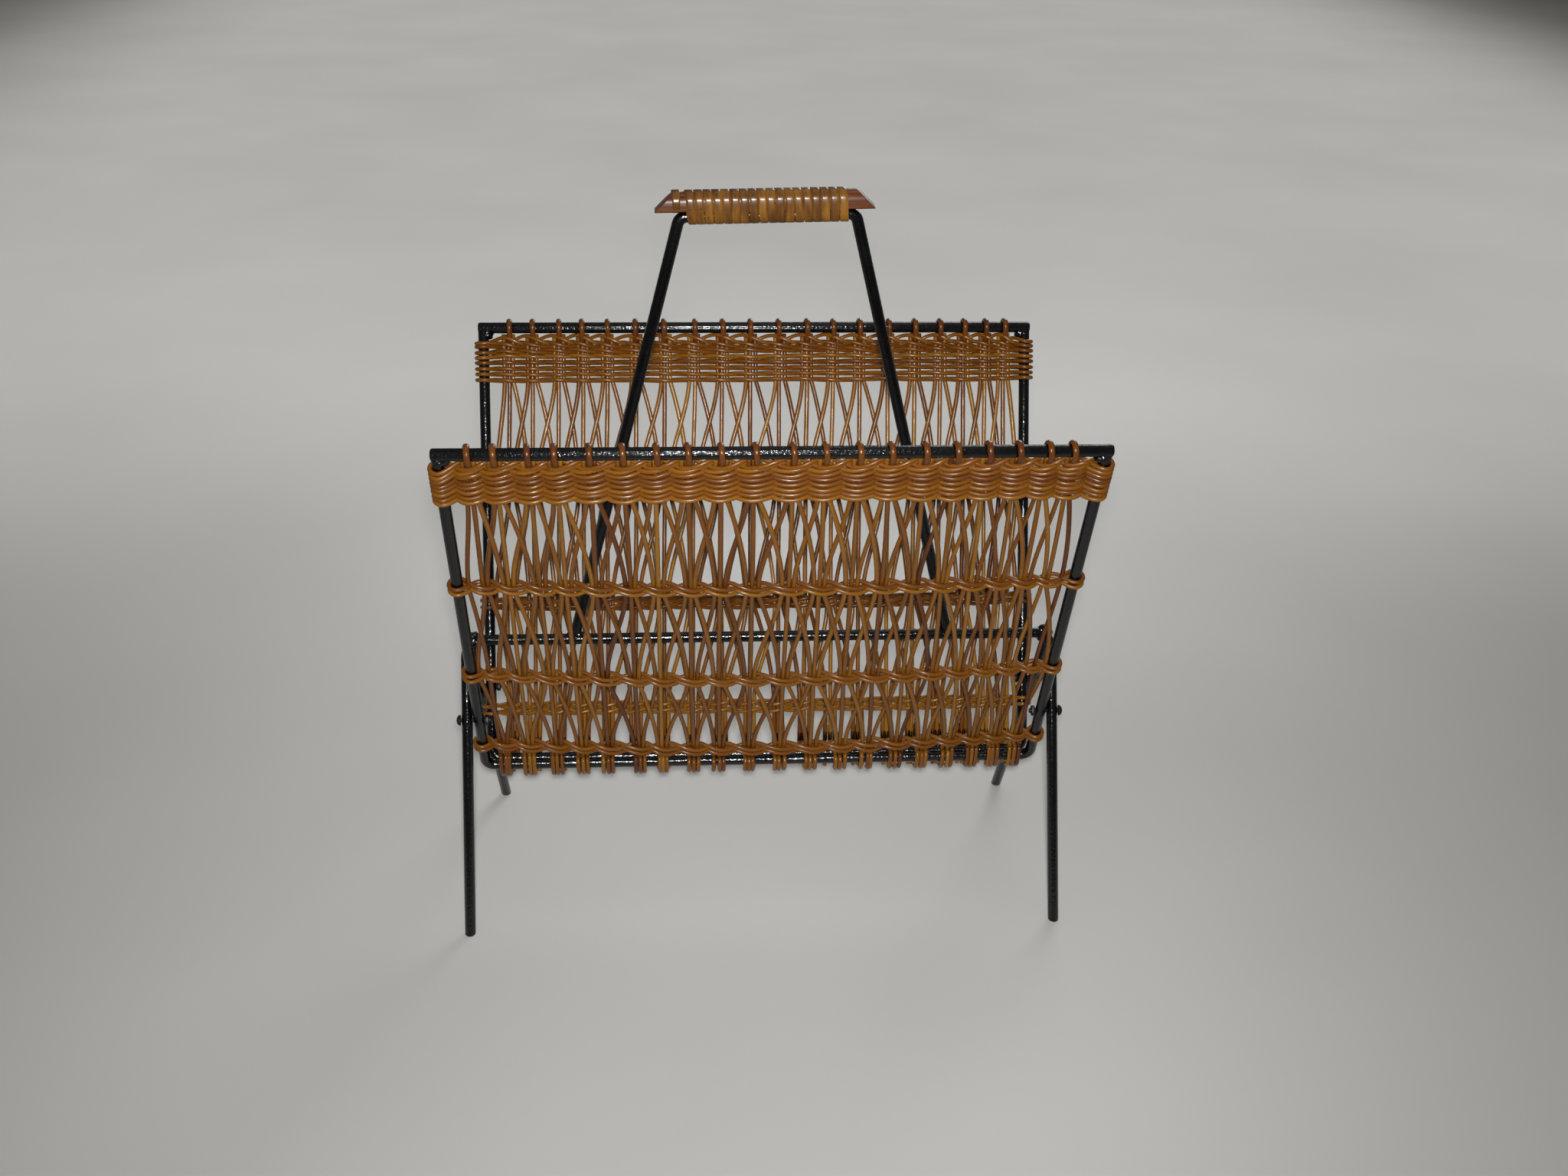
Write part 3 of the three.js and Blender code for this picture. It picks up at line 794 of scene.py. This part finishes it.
def bundle_place(name, index, down):
    """Where a bundle stands across the panel at a distance below the top rod"""
    upper, lower = BUNDLES[name]
    share = np.clip(np.asarray(down, float) / PANEL_LENGTH, 0, 1)
    return upper[index] + (lower[index] - upper[index]) * share


def random_tone(mean, spread, darkest, lightest):
    """A strand's own tone, near the mean one"""
    return float(np.clip(random_source.normal(mean, spread), darkest, lightest))


def eased(share, moves_right):
    """How a strand moves across between two bands: early when it goes to the right, else evenly"""
    if moves_right:
        return 0.35 * share + 0.65 * (1 - (1 - share) ** 2)
    return 0.3 * share + 0.7 * (3 * share**2 - 2 * share**3)


def stake_path(name, side, half, index, strand):
    """One stake: strand -1, 0 or 1 of a bundle, from the top rod to below the bottom rod. An outer one
    goes over to the next bundle at the upper and the lower band and at the foot, and comes back to its
    own at the middle band. At the panel's sides, where there is no next bundle, it spreads a little"""
    last = BUNDLE_COUNT - 1
    *slips, foot_slip, looseness = random_source.normal(0, 0.35, 6)

    def in_bundle(down):
        return bundle_place(name, index, down) + STAKE_SPACING * strand

    def in_next_bundle(down, at_the_side):
        if 0 <= index + strand <= last:
            return bundle_place(name, index + strand, down) - STAKE_SPACING * strand
        return in_bundle(down) + strand * at_the_side

    downs_and_sags = [(21.0, 0.0)] + [(share * PANEL_LENGTH, sag) for share, sag in BAND_ROWS[name]]
    (top, upper, middle, lower), sags = zip(*downs_and_sags)
    if strand == 0:
        outwards = {0: -11.0, last: 11.0}.get(index, 0.0)
        level_xs = [in_bundle(top), in_bundle(upper), in_bundle(middle) + outwards, in_bundle(lower)]
        foot_x = in_bundle(PANEL_LENGTH)
    else:
        level_xs = [in_bundle(top), in_next_bundle(upper, 6.5), in_bundle(middle), in_next_bundle(lower, 0.0)]
        foot_x = in_next_bundle(PANEL_LENGTH, 0.0)
    knots = []
    for x, down, sag, slip in zip(level_xs, (top, upper, middle, lower), sags, slips):
        x += slip
        knots.append((x, down + sag * (1 - (x / half) ** 2)))
    knots.append((foot_x + foot_slip, PANEL_LENGTH))

    # straight down from the top rod, then from band to band, and clear of the strand that it crosses
    x_top = in_bundle(0)
    xs, downs, outs = [x_top, x_top, x_top], [4.9, 9.0, 15.0], [0.7, 0.4, 0.1]
    for (x0, down0), (x1, down1), (lead, tail, steps) in zip(knots, knots[1:], STAKE_STRETCHES):
        shares = np.linspace(0, 1, steps, endpoint=False)
        moves_right = x1 > x0
        if abs(x1 - x0) > 6.0:
            bow = (1.55 if moves_right else -1.55) * np.sin(math.pi * shares) ** 0.8
        else:
            bow = 0.15 * looseness * np.sin(math.pi * shares)
        xs.extend([x0, *(x0 + (x1 - x0) * eased(shares, moves_right))])
        downs.extend([down0, *(down0 + lead + (down1 - tail - down0 - lead) * shares)])
        outs.extend([0.0, *bow])

    # over the bottom rod and under it, a loose one a little less far
    curl = STAKE_CURL[:-1] if abs(looseness) > 0.4 else STAKE_CURL
    for step, (down, out) in enumerate(curl):
        if PANEL_LENGTH + down > knots[-2][1] + 6.0:
            xs.append(knots[-1][0] + 0.12 * step * slips[3])
            downs.append(PANEL_LENGTH + down)
            outs.append(out + (0.35 if strand == 0 else 0.0))
    return on_panel(side, np.array(xs), np.array(downs), np.array(outs))


def loop_path(name, side, index):
    """The loop that hangs a bundle on the top rod: up its front, over it and down behind it"""
    reach = ROD + LOOP * LOOP_FLATNESS + 0.15
    lean = 0.8 if name == "front" else -0.5
    loop = [(lean, 11.0, 0.3), (lean, 8.8, 1.2), (lean, 6.4, 3.2), (lean, 3.6, 4.9)]
    for degrees in range(-8, 200, 13):
        angle = math.radians(degrees)
        loop.append((lean * (1 - (degrees + 8) / 105), -reach * math.sin(angle), reach * math.cos(angle)))
    loop += [(-lean, 6.4, -3.2), (-0.8 * lean, 8.8, -1.2), (-0.4 * lean, 11.0, -0.3)]
    x_top = bundle_place(name, index, 0) + random_source.normal(0, 0.5)
    xs, downs, outs = (np.array(values) for values in zip(*loop))
    return on_panel(side, xs + x_top, downs, outs)


def stakes(name, side, half):
    """All the stakes and loops of a panel. One stake in twenty is nearly black, the rear panel's are
    lighter, and the loops are dark"""
    strands = []
    for index in range(BUNDLE_COUNT):
        for strand in (-1, 0, 1):
            tone = random_tone(0.52, 0.2, 0.1, 0.95)
            if random_source.random() < 0.05:
                tone = 0.05
            if name == "rear":
                tone = min(0.95, tone + 0.12)
            strands.append(
                {
                    "points": stake_path(name, side, half, index, strand),
                    "radius": (STAKE + random_source.normal(0, 0.06)) / 1000,
                    "reference": ACROSS,
                    "tone": tone,
                    "offset": random_source.random() * 3,
                }
            )
        strands.append(
            {
                "points": loop_path(name, side, index),
                "radius": (LOOP + random_source.normal(0, 0.08)) / 1000,
                "flatness": LOOP_FLATNESS,
                "reference": ACROSS,
                "tone": random_tone(0.2, 0.05, 0.1, 0.35),
                "offset": random_source.random() * 3,
            }
        )
    return strands_piece(f"{name}_stakes", strands, stake_reed)


def weaver_row(name, side, half, base, slant, sag=0.0, end_drop=0.0, late=0.0):
    """One row of pairing: two weavers that change sides between the bundles and go round both side
    rods, drawn as one closed strand. The base is how far below the top rod it lies at the sides, sag
    how much lower in the middle, and end_drop how much lower round the side rods. Slant is how steeply
    the weavers cross, and late how far towards the next bundle"""
    places = [-half, *(float(bundle_place(name, index, base)) for index in range(BUNDLE_COUNT)), half]
    cells = range(len(places))
    jitter = random_source.normal(0, 0.3, len(places))
    span = np.linspace(0, len(places) - 1, (len(places) - 1) * WEAVER_STEPS + 1)
    late_here = late * np.clip(np.minimum(span, span[-1] - span), 0, 1)
    x = np.interp(span + late_here, cells, places)
    sweep = np.interp(span, cells, [WEAVER_TURN] + [WEAVER_SWEEP] * BUNDLE_COUNT + [WEAVER_TURN])
    lean = np.interp(span, cells, [0.3] + [slant] * BUNDLE_COUNT + [0.3])
    drift = np.interp(span, cells, jitter)
    droop = sag * (1 - (x / half) ** 2) + end_drop * np.clip((np.abs(x) - half + 16) / 16, 0, 1)

    def weaver(start_phase):
        """How far down and out one of the two weavers lies"""
        phase = math.pi * span + start_phase
        wave = np.cos(phase)
        out = sweep * np.sign(wave) * np.abs(wave) ** 0.85
        return base + droop + drift - lean * np.sin(phase) + WEAVER_DIP * np.cos(2 * phase), out

    def half_turn(hand, down0, down1, out0):
        """Round a side rod, from one weaver's end to the other's"""
        angles = np.linspace(0, math.pi, WEAVER_STEPS + 2)[1:-1]
        xs = hand * half + hand * WEAVER_TURN * np.sin(angles)
        outs = (1 if out0 > 0 else -1) * WEAVER_TURN * np.cos(angles)
        return xs, down0 + (down1 - down0) * angles / math.pi, outs

    down_a, out_a = weaver(0.0)
    down_b, out_b = weaver(math.pi)
    x_right, down_right, out_right = half_turn(1, down_a[-1], down_b[-1], out_a[-1])
    x_left, down_left, out_left = half_turn(-1, down_b[0], down_a[0], out_b[0])
    xs = np.concatenate([x, x_right, x[::-1], x_left])
    downs = np.concatenate([down_a, down_right, down_b[::-1], down_left])
    outs = np.concatenate([out_a, out_right, out_b[::-1], out_left])
    return on_panel(side, xs, downs, outs)


def weavers(name, side, half, band, rows):
    """A band of rows. The two-row bands are a little lighter than the top band"""
    down_the_panel = on_panel(side, 0, 1000, 0) - on_panel(side, 0, 0, 0)
    strands = []
    for row in rows:
        strands.append(
            {
                "points": weaver_row(name, side, half, **row),
                "radius": (WEAVER + random_source.normal(0, 0.04)) / 1000,
                "reference": down_the_panel,
                "tone": random_tone(0.55 if band == "top" else 0.72, 0.18, 0.12, 0.95),
                "closed": True,
                "offset": random_source.random() * 3,
            }
        )
    return strands_piece(f"{name}_{band}_weavers", strands, weaver_reed)


# the higher a row of the top band, the steeper it crosses and the lower it hangs round the side rods
top_rows = [{"base": TOP_ROWS[0] + 0.6, "slant": 3.1, "end_drop": 2.6, "late": 0.22}]
for row, base in enumerate(TOP_ROWS[1:]):
    top_rows.append({"base": base, "slant": max(0.5, 1.7 - 0.6 * row), "end_drop": 1.8 - 0.46 * row})

for name, side in SIDES.items():
    half = HALF_WIDTHS[name]
    panel_frame(name, side, half)
    net = stakes(name, side, half)
    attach(net, f"{name}_panel")
    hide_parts(f"{name}_net")
    bands = {"top": top_rows}
    for word, (share, sag) in zip(("upper", "middle", "lower"), BAND_ROWS[name]):
        middle = share * PANEL_LENGTH
        bands[word] = [
            {"base": middle + shift * BAND_ROW_GAP / 2, "slant": -1.6, "sag": sag} for shift in (-1, 1)
        ]
    for word, rows in bands.items():
        band = weavers(name, side, half, word, rows)
        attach(band, f"{name}_panel")
        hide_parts(f"{name}_{word}_band")


# ---- Pivot screws ----


def pivot_screw(name, side, hand, panel_half, leg_half):
    """A domed machine screw through a leg and a side rod, with a bevelled hexagon nut inside"""

    def place(x):
        return mm(hand * x, side * PIVOT[0], PIVOT[1])

    turn = (0, hand * math.pi / 2, 0)
    inner = panel_half - ROD - GAP
    outer = leg_half + ROD + GAP
    tail = inner - NUT_THICKNESS - SCREW_PAST_NUT
    begin_piece()
    bpy.ops.mesh.primitive_cylinder_add(
        vertices=20,
        radius=SHANK_RADIUS / 1000,
        depth=(outer - tail) / 1000,
        location=place((outer + tail) / 2),
        rotation=turn,
    )
    shank = bpy.context.object
    bpy.ops.object.mode_set(mode="EDIT")
    bevel_sharp_edges(0.3, 2)
    bpy.ops.object.transform_apply(location=True, rotation=True, scale=True)

    begin_piece()
    bpy.ops.mesh.primitive_uv_sphere_add(
        segments=24, ring_count=12, radius=HEAD_RADIUS / 1000, location=(0, 0, 0)
    )
    head = bpy.context.object
    bpy.ops.object.mode_set(mode="EDIT")
    bpy.ops.mesh.select_all(action="SELECT")
    bpy.ops.mesh.bisect(plane_co=(0, 0, 0), plane_no=(0, 0, 1), use_fill=True, clear_inner=True)
    bpy.ops.mesh.select_all(action="SELECT")
    bpy.ops.transform.resize(value=(1, 1, HEAD_FLATNESS))
    bevel_sharp_edges(0.4, 2)
    head.location = place(outer)
    head.rotation_euler = turn
    bpy.ops.object.transform_apply(location=True, rotation=True, scale=True)

    begin_piece()
    shank.select_set(True)
    head.select_set(True)
    bpy.context.view_layer.objects.active = shank
    bpy.ops.object.join()
    screw = finish_piece(f"{name}_turned_screw", screw_steel)

    begin_piece()
    bpy.ops.mesh.primitive_cylinder_add(
        vertices=6,
        radius=NUT_ACROSS_FLATS / math.sqrt(3) / 1000,
        depth=NUT_THICKNESS / 1000,
        location=place(inner - NUT_THICKNESS / 2),
        rotation=turn,
    )
    bpy.ops.object.mode_set(mode="EDIT")
    bevel_sharp_edges(0.45, 2)
    nut = finish_piece(f"{name}_hexagon_nut", screw_steel, smooth_angle=25)

    for piece, node in ((screw, "screw"), (nut, "nut")):
        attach(piece, "stand")
        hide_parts(f"{name}_pivot_{node}")


for word, hand in HANDS.items():
    pivot_screw(f"front_{word}", -1, hand, HALF_WIDTHS["front"], LEG_HALF_SPACING)
    pivot_screw(f"rear_{word}", 1, hand, HALF_WIDTHS["rear"], REAR_PIVOT_HALF_SPACING)


# ---- Floor, light and camera ----

begin_piece()
bpy.ops.mesh.primitive_plane_add(size=24, location=(0, 6, 0))
floor = finish_piece("cloth_floor", plain_cloth_floor())


def area_light(name, place, aim, size, power, spread=180, length=None):
    """A square lamp turned towards a place, or a rectangular one where it has a length. Spread is the
    angle in degrees to which its light is kept"""
    begin_piece()
    bpy.ops.object.light_add(type="AREA", location=place)
    lamp = bpy.context.object
    lamp.name = name
    lamp.data.size = size
    lamp.data.energy = power
    lamp.data.spread = math.radians(spread)
    if length:
        lamp.data.shape = "RECTANGLE"
        lamp.data.size_y = length
    lamp.rotation_euler = (Vector(aim) - Vector(place)).to_track_quat("-Z", "Y").to_euler()


# a small lamp at the camera gives the hard highlights, the others soften it and light the floor
area_light("ceiling_light", (0.3, 0.4, 2.6), (0, 0, 0.2), size=1.4, power=3.0)
area_light("room_light_behind", (0.8, 1.75, 1.15), (0, 0, 0.27), size=0.9, power=1.9, spread=60)
area_light("light_at_the_camera", (-0.06, -1.115, 0.83), (0, 0.5, 0.12), size=0.05, power=5.0, spread=95)
area_light("far_floor_light", (0.35, 4.6, 1.5), (0.35, 4.6, 0), size=4.6, power=68, spread=60, length=8.0)
area_light("floor_light_behind", (0, 0.5, 0.55), (0, 0.5, 0), size=0.5, power=0.12, spread=60, length=0.3)

world = bpy.data.worlds.new("soft_room")
world.use_nodes = True
background = world.node_tree.nodes["Background"]
background.inputs["Color"].default_value = linear("#f4f2ee")
background.inputs["Strength"].default_value = 0.13
bpy.context.scene.world = world

# the camera's place, angles and lens come from fitting the model to the photograph
bpy.ops.object.camera_add(location=(-0.06367, -1.0893, 0.7854))
camera = bpy.context.object
camera.rotation_euler = (math.radians(63.315), math.radians(-1.054), math.radians(-3.640))
camera.data.lens = 38.12
camera.data.sensor_width = 36.0
camera.data.clip_end = 60.0
bpy.context.scene.camera = camera
bpy.context.scene.view_settings.view_transform = "Standard"
